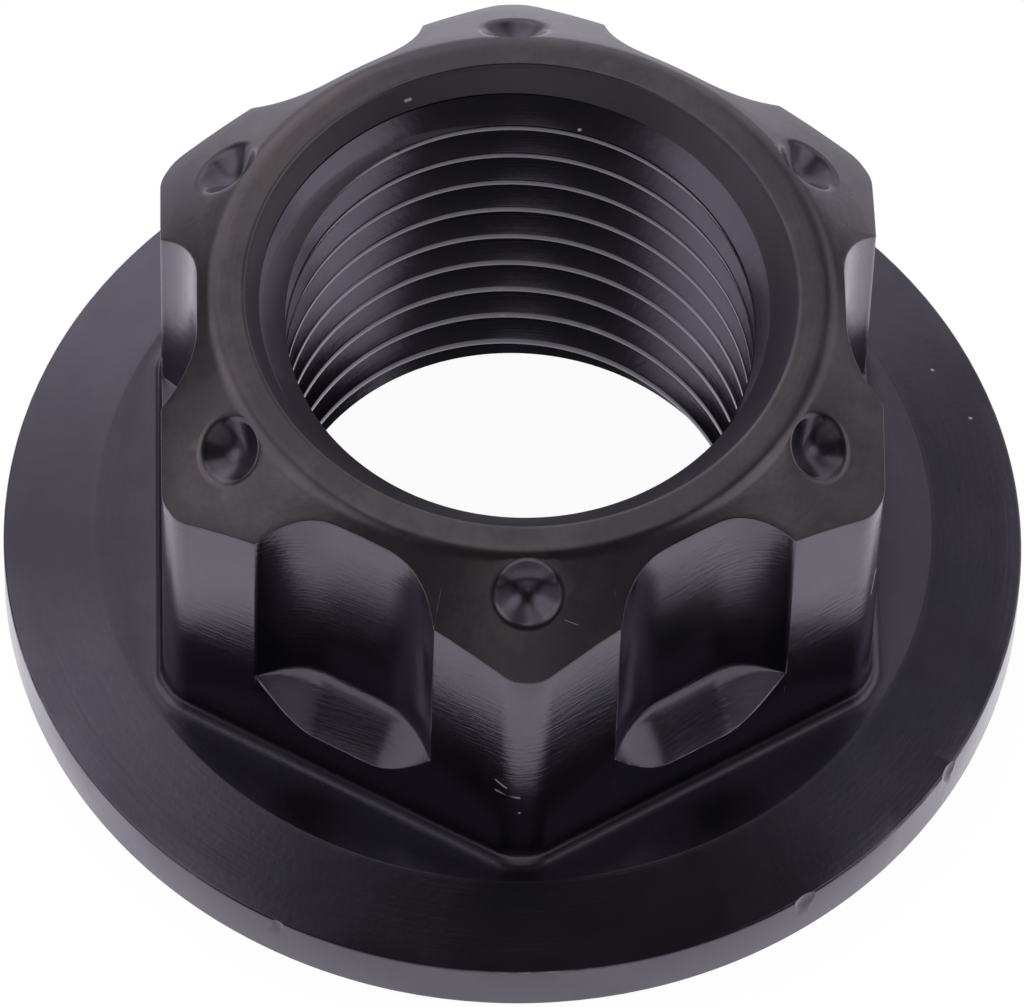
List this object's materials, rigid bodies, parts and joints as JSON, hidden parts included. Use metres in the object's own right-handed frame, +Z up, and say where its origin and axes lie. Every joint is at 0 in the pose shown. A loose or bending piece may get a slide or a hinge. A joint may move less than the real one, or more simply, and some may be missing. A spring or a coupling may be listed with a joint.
{
  "type": "axle nut",
  "caption": "Flanged axle nut in black anodised aluminium: scalloped hexagon with drilled dimples at its corners, rounded top and a fine right-hand thread.",
  "frame": {"origin": "centre of the seat, on the thread's axis", "axes": "+Z up the thread's axis from the seat to the top, with a corner of the hexagon towards -Y"},
  "size_m": [0.032, 0.032, 0.0157],
  "materials": {
    "axle_nut": "black anodised, satin, turned and milled"
  },
  "bodies": {
    "root": {"axle_nut": "axle_nut"}
  },
  "joints": []
}
